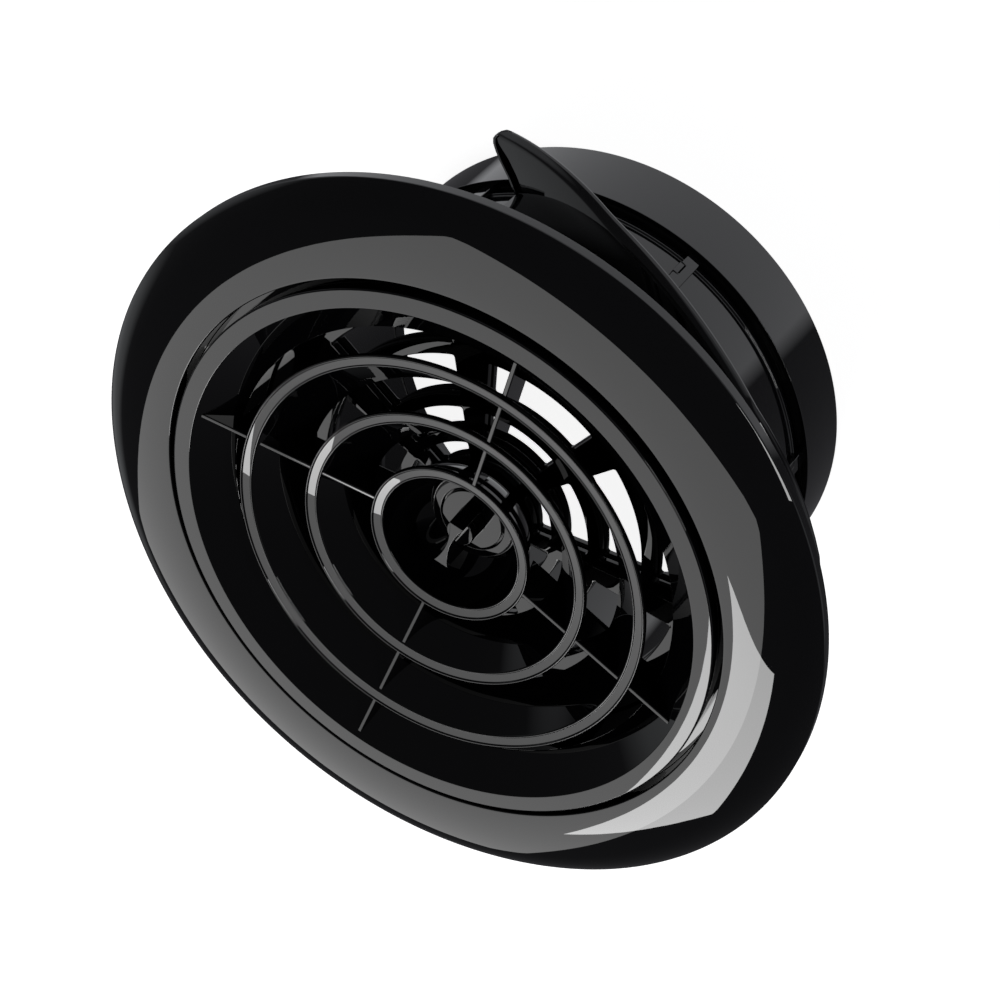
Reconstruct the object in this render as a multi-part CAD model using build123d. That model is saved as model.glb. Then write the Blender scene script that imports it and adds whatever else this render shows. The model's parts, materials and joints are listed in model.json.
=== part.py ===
from build123d import *
import math
import os

# Round ceiling air diffuser: louvred face, slotted air damper worked by a hub knob,
# round neck with a plug-on duct collar, and a twist-lock ring behind the face.
# Millimetres. +Z is the air diffuser's axis and points out of the face. The origin is the
# centre of the collar's rear rim, so the collar stands on Z = 0.

# ---------------------------------------------------------------- overall sizes
DEPTH = 105.0            # collar's rear rim to the lip of the face
LIP_R = 76.0             # inner edge of the lip, the free air opening
FACE_WIDTH = 24.3        # radial width of the outer face ring
DUCT_R = 75.0            # outside of the duct collar
COLLAR_LENGTH = 24.0     # plug-in length of the duct collar

# ---------------------------------------------------------------- face ring
LIP_BAND = 5.2           # flat band round the opening
GROOVE_W = 2.0           # groove between the lip band and the face ring
FACE_STEP = 1.1          # face ring below the lip at its inner edge
CROWN_WIDTH = 16.0       # nearly flat part of the face ring
CROWN_FALL = 1.0         # its fall towards the rim
CROWN_RISE = 0.4         # its rise at the middle
RIM_DROP = 6.8           # lip to the top of the rim's wall
RIM_HEIGHT = 2.9         # rim's straight outer wall
RIM_WALL = 2.9
LEDGE_DEPTH = 7.5        # lip to the ledge that carries the core
LEDGE_T = 2.0
LEDGE_R_GAP = 4.0        # lip edge to the ledge's inner edge
CHANNEL_DEPTH = 6.8      # lip to the bottom of the gasket channel
CHANNEL_W = 13.9
GASKET_SIDE_GAP = 0.4
GASKET_STAND = 0.6       # foam gasket stands past the rim

# ---------------------------------------------------------------- louvre core
LIP_T = 2.0
SKIRT_T = 1.8
FUNNEL_T = 2.2
FUNNEL_DEPTH = 9.2
THROAT_STEP = 2.6        # throat is this much smaller in radius than the neck's bore
HUB_R = 24.1             # outer radius of the hub's rim
THROAT_GAP = 5.25        # throat to the outer louvre's front edge, in radius
LOUVRES = 2
LOUVRE_SLOPE = 0.213     # louvre rims lie on this slope from the lip to the hub
RIM_BAND = 3.6           # flat front rim of a louvre
RIM_EDGE = 1.4           # thickness of the rim's outer edge
LOUVRE_T = 1.6
LOUVRE_DEPTH = 14.0
LOUVRE_RUN = 10.0        # inward run of the louvre's cone over its depth
SPOKES = 4
SPOKE_T = 1.3
SPOKE_DEPTH = 12.0
LAP_DEPTH = 6.0          # spokes and louvres cross in half laps
LAP_FIT = 0.05
SPOKE_LAND = 1.0         # spoke edge below the lip where it joins the funnel

# ---------------------------------------------------------------- hub cup
CUP_T = 1.8
CUP_FLOOR_R = 12.9
CUP_FLOOR_T = 2.0
CUP_BULGE = 1.6          # outward bow of the cup's wall
CUP_BOSS_W = 2.7         # raised ring round the knob
CUP_BOSS_H = 1.3

# ---------------------------------------------------------------- neck and collar
COLLAR_WALL = 3.2
PLUG_FIT = 0.15          # collar on neck
NECK_WALL = 2.5
NECK_REAR = 6.0          # neck's rear end above the collar's rim
NECK_FLANGE_T = 2.0
NECK_FLANGE_W = 10.5
COLLAR_GASKET_T = 1.0
BEAD_GAP = 2.0           # groove between the collar's edge and the neck's bead
BEAD_W = 1.0
BEAD_H = 0.5
COLLAR_CHAMFER = 0.8
HOOKS = 7                # hooked fingers that hold the collar on the neck
HOOK_ANGLE = 259.0
HOOK_LENGTH = 18.0
HOOK_W = 4.2
HOOK_T = 1.6
CATCH_W = 1.6            # neck's catch in the side of a hook
CATCH_L = 5.0
CATCH_SETBACK = 6.0
CATCH_FIT = 0.2

# ---------------------------------------------------------------- damper
DAMPER_DEPTH = 28.0      # lip to the front of the fixed plate
STATOR_T = 2.4
ROTOR_T = 2.4
PLATE_GAP = 1.0
STATOR_FIT = 0.3
POCKET_STEP = 0.4        # neck is this much wider above the fixed plate's seat
SEAT_W = 5.6             # neck's seat for the fixed plate
SEAT_T = 2.0
ROTOR_GAP = 0.6          # rotor inside the seat
SECTORS = 7
WEB_DEG = 12.0
WEB_ANGLE = 240.5
SLOT_HUB_R = 17.0
SLOT_RIM = 2.3
SLOT_ROWS = ((0.0, 0.12), (0.2, 0.37), (0.46, 0.73), (0.82, 1.0))
SLOT_CORNER = 1.2
TURN_DEG = 25.7          # half a sector, the knob's whole turn

# ---------------------------------------------------------------- spindle and knob
SPINDLE_R = 3.0
RUN_FIT = 0.05           # spindle in its bush
BUSH_T = 1.6
BUSH_FLANGE_T = 0.7
BUSH_FLANGE_R = 6.2
BUSH_SETBACK = 1.2       # bush ends below the cup's floor
SQUARE = 4.0             # spindle's square end in the rotor
SQUARE_FIT = 0.05
O_RING_R = 0.6           # half of the drag ring's thickness
KNOB_R = 9.2
KNOB_GAP = 0.5           # knob's disc inside the boss
KNOB_FLOOR_GAP = 0.3
KNOB_DISC_T = 1.5
KNOB_BELOW_RIM = 0.3     # grip's top below the hub's rim
GRIP_L = 15.4
GRIP_W = 4.6
GRIP_WAIST = 1.3
SOCKET_DEPTH = 7.0       # spindle in the knob
WASHER_T = 0.8
WASHER_R = 5.6
PIN_R = 1.25             # stop pin in the rotor
PIN_ARM = 12.6
PIN_STAND = 1.6          # pin's reach into the fixed plate
PIN_SLOT_FIT = 0.35

# ---------------------------------------------------------------- screws
SCREW_R = 1.25
SCREW_HEAD_R = 2.2
SCREW_HEAD_H = 1.4
SCREW_L = 8.0
SCREW_FIT = 0.05
HOLE_FIT = 0.2
BOSS_R = 2.6
BOSS_H = 9.0
STATOR_SCREWS = 4
SCREW_START_DEG = 45.0
FACE_SCREWS = 6
FACE_SCREW_R = 1.6
FACE_HEAD_R = 3.2
FACE_HEAD_H = 1.8
FACE_SCREW_L = 6.0
FACE_BOSS_R = 2.9
FACE_BOSS_H = 2.6
RECESS_W = 0.6
RECESS_DEPTH = 0.7

# ---------------------------------------------------------------- twist-lock ring
LOCK_GAP = 0.3           # ring on the neck
LOCK_T = 4.4
LOCK_H = 8.6
LOCK_HEAD_GAP = 0.7      # ring below the screw heads
SNAP_T = 1.0             # snap ring that holds it
SNAP_W = 2.8
SNAP_GROOVE = 0.8
SNAP_FIT = 0.1
WINGS = 2
WING_WALL = 1.4          # sleeve from the ring down to the blade
WING_WALL_GAP = 1.9      # sleeve outside the hooks
WING_T = 2.0
WING_SETBACK = 0.5       # blade's front face below the ring's top
WING_ROOT_R = 104.0      # reach of the blade behind the face
WING_TIP_R = 92.0        # reach towards its tip
WING_ROLL = 2.6          # rounded outer edge of the blade
WING_DIP = 0.9
WING_ROOT_DEG = 202.0
WING_ROUND_DEG = 14.0    # root's rounded corner
WING_FLAT_DEG = 239.0    # from here the blade winds rearward
WING_WAIST_DEG = 273.0   # from here it has its tip's reach
WING_END_DEG = 306.0     # the blade is then trimmed to its skewed, rounded tip
WING_PITCH = 0.95        # rearward fall per degree
WING_TRIM = (            # tip's outline as (radius, degrees)
    (72.0, 296.5),
    (80.0, 300.0),
    (86.0, 303.0),
    (89.0, 304.1),
    (91.0, 303.9),
    (92.1, 302.5),
    (92.6, 300.5),
    (96.0, 300.5),
    (96.0, 315.0),
    (72.0, 315.0),
)
WING_LIP_T = 1.2         # raised lip on the blade's end edge
WING_LIP_H = 1.6

# ---------------------------------------------------------------- derived sizes
ORIGIN = (0, 0)
lip_z = DEPTH
core_r = LIP_R + LIP_BAND
face_in_r = core_r + GROOVE_W
face_r = face_in_r + FACE_WIDTH
ledge_z = lip_z - LEDGE_DEPTH
ledge_bottom = ledge_z - LEDGE_T
ledge_r = LIP_R - LEDGE_R_GAP
rim_top = lip_z - RIM_DROP
rim_bottom = rim_top - RIM_HEIGHT
neck_r = DUCT_R - COLLAR_WALL - PLUG_FIT
bore_r = neck_r - NECK_WALL
pocket_r = bore_r + POCKET_STEP
throat_r = bore_r - THROAT_STEP
throat_z = lip_z - FUNNEL_DEPTH
neck_top = ledge_bottom
louvre_pitch = (throat_r - THROAT_GAP - HUB_R) / LOUVRES
rim_lean = LOUVRE_SLOPE * RIM_BAND
stator_top = lip_z - DAMPER_DEPTH
stator_bottom = stator_top - STATOR_T
rotor_top = stator_bottom - PLATE_GAP
rotor_bottom = rotor_top - ROTOR_T
seat_r = bore_r - SEAT_W
rotor_r = seat_r - ROTOR_GAP
floor_z = stator_top + CUP_FLOOR_T
knob_bottom = floor_z + KNOB_FLOOR_GAP
boss_in_r = KNOB_R + KNOB_GAP
bush_r = SPINDLE_R + RUN_FIT + BUSH_T
bush_top = floor_z - BUSH_SETBACK
screw_ring_r = (seat_r + bore_r) / 2
face_screw_ring_r = ledge_r + FACE_BOSS_R + 1.4
lock_top = neck_top - NECK_FLANGE_T - FACE_HEAD_H - LOCK_HEAD_GAP
lock_bottom = lock_top - LOCK_H
lock_in_r = neck_r + LOCK_GAP
lock_out_r = lock_in_r + LOCK_T
snap_top = lock_bottom - LOCK_GAP
hook_in_r = neck_r + PLUG_FIT


def rim_line(radius):
    """Height of the cone on which the louvre rims lie."""
    return lip_z - LOUVRE_SLOPE * (LIP_R - radius)


def turned(*points):
    """Solid of revolution about Z from an outline of (radius, height) points."""
    return revolve(Plane.XZ * make_face(Polyline(*points, close=True)), Axis.Z)


def turned_outline(*edges):
    """Solid of revolution about Z from an outline of edges in (radius, height)."""
    return revolve(Plane.XZ * make_face(edges), Axis.Z)


def tube(inner, outer, bottom, top):
    """Plain ring between two radii and two heights."""
    ring = Circle(outer) - Circle(inner)
    return extrude(Plane.XY.offset(bottom) * ring, top - bottom)


def disc(radius, bottom, top):
    """Plain cylinder on the axis."""
    return extrude(Plane.XY.offset(bottom) * Circle(radius), top - bottom)


def turn(shape, degrees):
    """Shape turned about the axis."""
    return Rot(0, 0, degrees) * shape


def round_pattern(shape, count, start=0.0):
    """Copies of a shape spaced evenly about the axis, as a list."""
    return [turn(shape, start + 360 / count * index) for index in range(count)]


def joined(shapes):
    """One shape from a list of overlapping shapes."""
    whole = shapes[0]
    for shape in shapes[1:]:
        whole += shape
    return whole


def screw(radius, length, head_r, head_h):
    """Pan-head screw pointing down from the underside of its head at the origin."""
    body = disc(radius, -length, 0.1) + disc(head_r, 0, head_h)
    top_edges = body.edges().group_by(Axis.Z)[-1]
    body = fillet(top_edges, head_h * 0.4)
    for angle in (0, 90):
        slot = Box(head_r * 1.2, RECESS_W, RECESS_DEPTH * 2)
        body -= Pos(0, 0, head_h) * Rot(0, 0, angle) * slot
    return body


def sector_box(radius_in, radius_out, width, bottom, top, angle):
    """Block of constant width between two radii, centred on an angle."""
    block = Box(radius_out - radius_in, width, top - bottom)
    middle = Pos((radius_in + radius_out) / 2, 0, (bottom + top) / 2)
    return turn(middle * block, angle)


# ---------------------------------------------------------------- face ring and gasket
def face_ring():
    crown_r = face_in_r + CROWN_WIDTH
    inner_top = lip_z - FACE_STEP
    crown_z = inner_top - CROWN_FALL
    channel_z = lip_z - CHANNEL_DEPTH
    channel_out = face_r - RIM_WALL
    channel_in = channel_out - CHANNEL_W
    crown_mid = ((face_in_r + crown_r) / 2, (inner_top + crown_z) / 2 + CROWN_RISE)
    roll_mid = (crown_r + (face_r - crown_r) * 0.6, rim_top + (crown_z - rim_top) * 0.66)
    outline = [
        Line((ledge_r, ledge_z), (face_in_r, ledge_z)),
        Line((face_in_r, ledge_z), (face_in_r, inner_top)),
        ThreePointArc((face_in_r, inner_top), crown_mid, (crown_r, crown_z)),
        ThreePointArc((crown_r, crown_z), roll_mid, (face_r, rim_top)),
        Polyline(
            (face_r, rim_top),
            (face_r, rim_bottom),
            (channel_out, rim_bottom),
            (channel_out, channel_z),
            (channel_in, channel_z),
            (channel_in, ledge_bottom),
            (ledge_r, ledge_bottom),
            (ledge_r, ledge_z),
        ),
    ]
    ring = turned_outline(*outline)
    boss = Pos(face_screw_ring_r, 0, 0) * disc(FACE_BOSS_R, ledge_bottom, ledge_z + FACE_BOSS_H)
    hole = Pos(face_screw_ring_r, 0, 0) * disc(
        FACE_SCREW_R + SCREW_FIT, ledge_bottom - 1, ledge_z + FACE_BOSS_H - 0.4
    )
    for part in round_pattern(boss, FACE_SCREWS):
        ring += part
    for part in round_pattern(hole, FACE_SCREWS):
        ring -= part
    return ring


def ceiling_gasket():
    outer = face_r - RIM_WALL - GASKET_SIDE_GAP
    inner = face_r - RIM_WALL - CHANNEL_W + GASKET_SIDE_GAP
    return tube(inner, outer, rim_bottom - GASKET_STAND, lip_z - CHANNEL_DEPTH)


# ---------------------------------------------------------------- louvre core
def core_ring():
    slope = (LIP_R - throat_r) / FUNNEL_DEPTH
    back_r = LIP_R + FUNNEL_T - slope * LIP_T
    return turned(
        (LIP_R, lip_z),
        (core_r, lip_z),
        (core_r, ledge_z),
        (core_r - SKIRT_T, ledge_z),
        (core_r - SKIRT_T, lip_z - LIP_T),
        (back_r, lip_z - LIP_T),
        (throat_r + FUNNEL_T, throat_z),
        (throat_r, throat_z),
    )


def louvre(radius):
    """Conical louvre with a flat front rim, before its laps are cut."""
    top = rim_line(radius)
    cone_top_r = radius - RIM_BAND
    rear = top - LOUVRE_DEPTH
    rear_r = cone_top_r - LOUVRE_RUN
    return turned(
        (radius, top),
        (cone_top_r, top - rim_lean),
        (rear_r, rear),
        (rear_r + LOUVRE_T, rear),
        (radius - RIM_EDGE, top - RIM_EDGE - rim_lean),
        (radius, top - RIM_EDGE),
    )


def hub_cup():
    top = rim_line(HUB_R)
    wall_r = HUB_R - RIM_BAND
    foot_r = CUP_FLOOR_R
    wall_mid = ((wall_r + foot_r) / 2 + CUP_BULGE, (top - rim_lean + floor_z) / 2)
    back_mid = (wall_mid[0] + CUP_T, wall_mid[1])
    outline = [
        Line((HUB_R, top), (wall_r, top - rim_lean)),
        ThreePointArc((wall_r, top - rim_lean), wall_mid, (foot_r, floor_z)),
        Polyline(
            (foot_r, floor_z),
            (bush_r, floor_z),
            (bush_r, stator_top),
            (foot_r + CUP_T, stator_top),
        ),
        ThreePointArc(
            (foot_r + CUP_T, stator_top), back_mid, (wall_r + CUP_T, top - RIM_EDGE - rim_lean)
        ),
        Polyline(
            (wall_r + CUP_T, top - RIM_EDGE - rim_lean),
            (HUB_R, top - RIM_EDGE),
            (HUB_R, top),
        ),
    ]
    boss = tube(boss_in_r, boss_in_r + CUP_BOSS_W, floor_z - 0.2, floor_z + CUP_BOSS_H)
    return turned_outline(*outline) + boss


def spoke_blank(thickness):
    """One full spoke along +X, before its laps are cut."""
    inner = HUB_R - RIM_BAND
    outer = LIP_R
    outline = make_face(
        Polyline(
            (inner, rim_line(inner)),
            (outer, rim_line(outer) - SPOKE_LAND),
            (outer, rim_line(outer) - SPOKE_DEPTH),
            (inner, rim_line(inner) - SPOKE_DEPTH),
            close=True,
        )
    )
    return extrude(Plane.XZ * outline, thickness / 2, both=True)


def lap_zone():
    """Everything in front of the surface on which spokes and louvres lap."""
    return turned(
        (0, lip_z + 1),
        (LIP_R + 1, lip_z + 1),
        (LIP_R + 1, rim_line(LIP_R + 1) - LAP_DEPTH),
        (0, rim_line(0) - LAP_DEPTH),
    )


def funnel_inside():
    """The air space inside the core ring, where the spokes may run."""
    slope = (LIP_R - throat_r) / FUNNEL_DEPTH
    return turned(
        (0, lip_z),
        (LIP_R, lip_z),
        (throat_r, throat_z),
        (throat_r - slope, throat_z - 8),
        (0, throat_z - 40),
    )


def core_parts():
    """Louvres, hub cup and spokes, with the half laps where they cross."""
    zone = lap_zone()
    slots = joined(round_pattern(spoke_blank(SPOKE_T + 2 * LAP_FIT), SPOKES)) - zone
    louvres = [louvre(HUB_R + louvre_pitch * step) for step in range(1, LOUVRES + 1)]
    cup = hub_cup()
    spoke = (spoke_blank(SPOKE_T) & funnel_inside()) - cup - disc(HUB_R - RIM_BAND, 0, lip_z)
    for ring in louvres:
        spoke -= ring & zone
    return [ring - slots for ring in louvres], cup, round_pattern(spoke, SPOKES)


# ---------------------------------------------------------------- neck and collar
def hook_blank(clearance):
    """A finger of the collar that runs forward over the neck."""
    finger = sector_box(
        neck_r - 4,
        neck_r + 4,
        HOOK_W + 2 * clearance,
        COLLAR_LENGTH,
        COLLAR_LENGTH + HOOK_LENGTH + clearance,
        0,
    )
    return finger & tube(hook_in_r, hook_in_r + HOOK_T, 0, lip_z)


def catch(clearance):
    """The neck's catch that sits in the side of a finger."""
    low = COLLAR_LENGTH + CATCH_SETBACK - clearance
    block = sector_box(
        neck_r - 1, neck_r + 4, CATCH_W + clearance, low, low + CATCH_L + 2 * clearance, 0
    )
    side = Pos(0, (HOOK_W - CATCH_W - clearance) / 2 + 0.3, 0) * block
    return side & tube(neck_r - 0.5, hook_in_r + HOOK_T, 0, lip_z)


def neck_housing():
    neck = tube(bore_r, neck_r, NECK_REAR, stator_bottom)
    neck += tube(pocket_r, neck_r, stator_bottom, neck_top)
    neck += tube(pocket_r, neck_r + NECK_FLANGE_W, neck_top - NECK_FLANGE_T, neck_top)
    neck += tube(seat_r, bore_r + 0.5, stator_bottom - SEAT_T, stator_bottom)
    bead_low = COLLAR_LENGTH + BEAD_GAP
    bead = tube(neck_r - 0.5, neck_r + BEAD_H, bead_low, bead_low + BEAD_W)
    finger = sector_box(
        neck_r - 2, neck_r + 4, HOOK_W + 2 * CATCH_FIT, bead_low - 1, bead_low + BEAD_W + 1, 0
    )
    for part in round_pattern(finger, HOOKS, HOOK_ANGLE):
        bead -= part
    neck += bead
    for part in round_pattern(catch(0), HOOKS, HOOK_ANGLE):
        neck += part
    boss = Pos(screw_ring_r, 0, 0) * disc(BOSS_R, stator_bottom - BOSS_H, stator_bottom)
    pilot = Pos(screw_ring_r, 0, 0) * disc(
        SCREW_R + SCREW_FIT, stator_bottom - BOSS_H + 0.8, stator_bottom + 1
    )
    face_hole = Pos(face_screw_ring_r, 0, 0) * disc(
        FACE_SCREW_R + HOLE_FIT, neck_top - NECK_FLANGE_T - 1, neck_top + 1
    )
    for part in round_pattern(boss, STATOR_SCREWS, SCREW_START_DEG):
        neck += part
    for part in round_pattern(pilot, STATOR_SCREWS, SCREW_START_DEG):
        neck -= part
    for part in round_pattern(face_hole, FACE_SCREWS):
        neck -= part
    return neck - tube(neck_r - SNAP_GROOVE, neck_r + 1, snap_top - SNAP_T - SNAP_FIT, snap_top)


def duct_collar():
    step_z = NECK_REAR - COLLAR_GASKET_T
    sleeve = turned(
        (bore_r, 0),
        (DUCT_R - COLLAR_CHAMFER, 0),
        (DUCT_R, COLLAR_CHAMFER),
        (DUCT_R, COLLAR_LENGTH),
        (hook_in_r, COLLAR_LENGTH),
        (hook_in_r, step_z),
        (bore_r, step_z),
    )
    for part in round_pattern(hook_blank(0) - catch(CATCH_FIT), HOOKS, HOOK_ANGLE):
        sleeve += part
    return sleeve


def collar_gasket():
    return tube(bore_r + 0.2, neck_r - 0.1, NECK_REAR - COLLAR_GASKET_T, NECK_REAR)


# ---------------------------------------------------------------- damper
def slot_rows():
    """Radii of the slot rows, from the hub to the rim."""
    span = rotor_r - SLOT_RIM - SLOT_HUB_R
    return [(SLOT_HUB_R + low * span, SLOT_HUB_R + high * span) for low, high in SLOT_ROWS]


def slot_sketch(row, angle):
    """One arc slot with rounded corners in a sector."""
    low, high = row
    mid = (low + high) / 2
    length = 360 / SECTORS - WEB_DEG
    start = angle + WEB_DEG / 2
    outer = CenterArc(ORIGIN, high, start, length)
    inner = CenterArc(ORIGIN, low, start, length)
    sides = [Line(outer @ 0, inner @ 0), Line(outer @ 1, inner @ 1)]
    face = make_face([outer, inner, *sides])
    return fillet(face.vertices(), min(SLOT_CORNER, mid * 0.1, (high - low) * 0.4))


def slotted_plate(radius, bottom, thickness):
    plate = Circle(radius)
    for row in slot_rows():
        for index in range(SECTORS):
            plate -= slot_sketch(row, WEB_ANGLE + 360 / SECTORS * index)
    return extrude(Plane.XY.offset(bottom) * plate, thickness)


def damper_stator():
    plate = slotted_plate(pocket_r - STATOR_FIT, stator_bottom, STATOR_T)
    plate -= disc(bush_r, stator_bottom - 1, stator_top + 1)
    track = SlotArc(CenterArc(ORIGIN, PIN_ARM, 0, TURN_DEG), 2 * (PIN_R + PIN_SLOT_FIT))
    plate -= extrude(Plane.XY.offset(stator_bottom - 1) * track, PIN_STAND + 1)
    hole = Pos(screw_ring_r, 0, 0) * disc(SCREW_R + HOLE_FIT, stator_bottom - 1, stator_top + 1)
    for part in round_pattern(hole, STATOR_SCREWS, SCREW_START_DEG):
        plate -= part
    return plate


def damper_rotor():
    plate = slotted_plate(rotor_r, rotor_bottom, ROTOR_T)
    hole = Box(SQUARE + 2 * SQUARE_FIT, SQUARE + 2 * SQUARE_FIT, 4 * ROTOR_T)
    plate -= Pos(0, 0, rotor_bottom) * hole
    return plate - Pos(PIN_ARM, 0, 0) * disc(PIN_R, rotor_bottom - 1, rotor_top + 1)


def stop_pin():
    top = stator_bottom + PIN_STAND - 0.4
    pin = disc(PIN_R, rotor_bottom, top)
    return Pos(PIN_ARM, 0, 0) * chamfer(pin.edges().group_by(Axis.Z)[-1], 0.3)


def spindle_bush():
    flange_low = stator_bottom - BUSH_FLANGE_T
    bush = tube(SPINDLE_R + RUN_FIT, bush_r, flange_low, bush_top)
    return bush + tube(SPINDLE_R + RUN_FIT, BUSH_FLANGE_R, flange_low, stator_bottom)


def damper_spindle():
    body = disc(SPINDLE_R, rotor_top, knob_bottom + SOCKET_DEPTH)
    square = Rectangle(SQUARE, SQUARE)
    body += extrude(Plane.XY.offset(rotor_bottom) * square, ROTOR_T + 0.5)
    return body - disc(SCREW_R + SCREW_FIT, rotor_bottom - 1, rotor_bottom + SCREW_L + 1)


def spindle_o_ring():
    ring_r = SPINDLE_R + RUN_FIT + O_RING_R
    profile = Pos(ring_r, bush_top + RUN_FIT + O_RING_R) * Circle(O_RING_R)
    return revolve(Plane.XZ * profile, Axis.Z)


def control_knob():
    grip_top = rim_line(HUB_R) - KNOB_BELOW_RIM
    half_l = GRIP_L / 2
    bite = (GRIP_W - GRIP_WAIST) / 2
    scoop_r = (half_l**2 + bite**2) / (2 * bite)
    grip = Rectangle(GRIP_W, GRIP_L)
    for side in (-1, 1):
        grip -= Pos(side * (GRIP_WAIST / 2 + scoop_r), 0) * Circle(scoop_r)
    knob = disc(KNOB_R, knob_bottom, knob_bottom + KNOB_DISC_T)
    knob += extrude(Plane.XY.offset(knob_bottom + 0.2) * grip, grip_top - knob_bottom - 0.2)
    knob += disc(SPINDLE_R + 1.2, knob_bottom + 0.2, knob_bottom + SOCKET_DEPTH + 1.2)
    return knob - disc(SPINDLE_R, knob_bottom - 1, knob_bottom + SOCKET_DEPTH)


def rotor_washer():
    return tube(SCREW_R + HOLE_FIT, WASHER_R, rotor_bottom - WASHER_T, rotor_bottom)


def rotor_screw():
    upright = screw(SCREW_R, SCREW_L, SCREW_HEAD_R, SCREW_HEAD_H)
    return Pos(0, 0, rotor_bottom - WASHER_T) * Rot(180, 0, 0) * upright


# ---------------------------------------------------------------- screws
def stator_screws():
    one = Pos(screw_ring_r, 0, stator_top) * screw(SCREW_R, SCREW_L, SCREW_HEAD_R, SCREW_HEAD_H)
    return round_pattern(one, STATOR_SCREWS, SCREW_START_DEG)


def face_screws():
    upright = screw(FACE_SCREW_R, FACE_SCREW_L, FACE_HEAD_R, FACE_HEAD_H)
    flipped = Rot(180, 0, 0) * upright
    one = Pos(face_screw_ring_r, 0, neck_top - NECK_FLANGE_T) * flipped
    return round_pattern(one, FACE_SCREWS)


# ---------------------------------------------------------------- twist-lock ring
def wing_reach(angle):
    """Outer radius of a wing's blade at an angle."""
    reach = WING_TIP_R
    if angle < WING_WAIST_DEG:
        share = min(1.0, (WING_WAIST_DEG - angle) / (WING_WAIST_DEG - WING_FLAT_DEG))
        reach += (WING_ROOT_R - WING_TIP_R) * share**1.3
    root = 1 - (angle - WING_ROOT_DEG) / WING_ROUND_DEG
    if root > 0:
        reach -= (WING_ROOT_R - lock_out_r - 4) * (1 - math.sqrt(1 - root**2))
    return reach


def wing_face(angle):
    """Height of the blade's front face at an angle."""
    return lock_top - WING_SETBACK - WING_PITCH * max(0.0, angle - WING_FLAT_DEG)


def wing_section(angle):
    """Blade and sleeve of a wing, cut by the radial plane at an angle."""
    wall_in = neck_r + PLUG_FIT + HOOK_T + WING_WALL_GAP - 1
    wall_out = wall_in + WING_WALL
    reach = wing_reach(angle)
    front = wing_face(angle)
    outline = Polyline(
        (wall_in, front - WING_T),
        (reach - WING_ROLL, front - WING_T),
        (reach - 0.4, front - WING_T - WING_DIP),
        (reach, front - WING_T - WING_DIP + 0.6),
        (reach - 0.7, front - 0.9),
        (reach - WING_ROLL, front),
        (wall_out, front),
        (wall_out, lock_top - 0.1),
        (wall_in, lock_top - 0.1),
        close=True,
    )
    return turn(Plane.XZ * make_face(outline), angle)


def trim_point(radius, degrees, setback=0.0):
    """Point of the tip's outline, moved back along the blade by a setback."""
    angle = math.radians(degrees) - setback / radius
    return (radius * math.cos(angle), radius * math.sin(angle))


def tip_trim():
    """Everything beyond a wing's skewed tip."""
    outline = Polyline(*[trim_point(*point) for point in WING_TRIM], close=True)
    return extrude(Plane.XY * make_face(outline), lip_z)


def tip_lip():
    """Thin raised lip along the straight part of the tip's edge."""
    (r1, a1), (r2, a2) = (lock_out_r - 1, 298.4), (WING_TRIM[2][0], WING_TRIM[2][1])
    corners = [
        trim_point(r1, a1),
        trim_point(r2, a2),
        trim_point(r2, a2, WING_LIP_T),
        trim_point(r1, a1, WING_LIP_T),
    ]
    low = wing_face((a1 + a2) / 2) - WING_T
    height = WING_T + WING_LIP_H
    return extrude(Plane.XY.offset(low) * make_face(Polyline(*corners, close=True)), height)


def wing():
    """One wing: rounded root, flat blade, winding blade and trimmed tip."""
    root_end = WING_ROOT_DEG + WING_ROUND_DEG
    winding = WING_END_DEG - WING_FLAT_DEG
    root_steps = [WING_ROOT_DEG + WING_ROUND_DEG * share for share in (0, 0.1, 0.3, 0.6, 1)]
    wind_steps = [WING_FLAT_DEG + winding * index / 11 for index in range(12)]
    blade = loft([wing_section(angle) for angle in root_steps], ruled=True)
    blade += revolve(wing_section(root_end), Axis.Z, WING_FLAT_DEG - root_end)
    blade += loft([wing_section(angle) for angle in wind_steps])
    return (blade - tip_trim()) + tip_lip()


def lock_ring():
    ring = tube(lock_in_r, lock_out_r, lock_bottom, lock_top)
    for part in round_pattern(wing(), WINGS):
        ring += part
    return ring


def snap_ring():
    ring = tube(
        neck_r - SNAP_GROOVE + SNAP_FIT,
        neck_r - SNAP_GROOVE + SNAP_FIT + SNAP_W,
        snap_top - SNAP_T,
        snap_top,
    )
    return ring - sector_box(neck_r - 4, neck_r + 6, 6.0, 0, lip_z, 90)


# ---------------------------------------------------------------- write the parts
def save(name, shape):
    if isinstance(shape, list):
        shape = Compound(children=shape)
    export_step(shape, f"parts/{name}.step")


def main():
    os.makedirs("parts", exist_ok=True)
    louvres, cup, spokes = core_parts()
    save("face_ring", face_ring())
    save("ceiling_gasket", ceiling_gasket())
    save("core_ring", core_ring())
    for number, ring in enumerate(louvres, start=1):
        save(f"louvre_ring_{number}", ring)
    save("hub_cup", cup)
    save("louvre_spokes", spokes)
    save("neck_housing", neck_housing())
    save("duct_collar", duct_collar())
    save("collar_gasket", collar_gasket())
    save("damper_stator", damper_stator())
    save("stator_screws", stator_screws())
    save("spindle_bush", spindle_bush())
    save("damper_spindle", damper_spindle())
    save("spindle_o_ring", spindle_o_ring())
    save("control_knob", control_knob())
    save("damper_rotor", damper_rotor())
    save("rotor_washer", rotor_washer())
    save("rotor_screw", rotor_screw())
    save("stop_pin", stop_pin())
    save("lock_ring", lock_ring())
    save("snap_ring", snap_ring())
    save("face_screws", face_screws())


main()
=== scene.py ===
"""Round ceiling air diffuser: a louvred face, a slotted damper worked by a hub knob, a round neck
with its duct collar, and a twist-lock ring with two winding wings."""

import json
import math

import bmesh
import bpy
from bpy.props import FloatProperty, FloatVectorProperty, PointerProperty
from mathutils import Matrix, Vector


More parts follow.
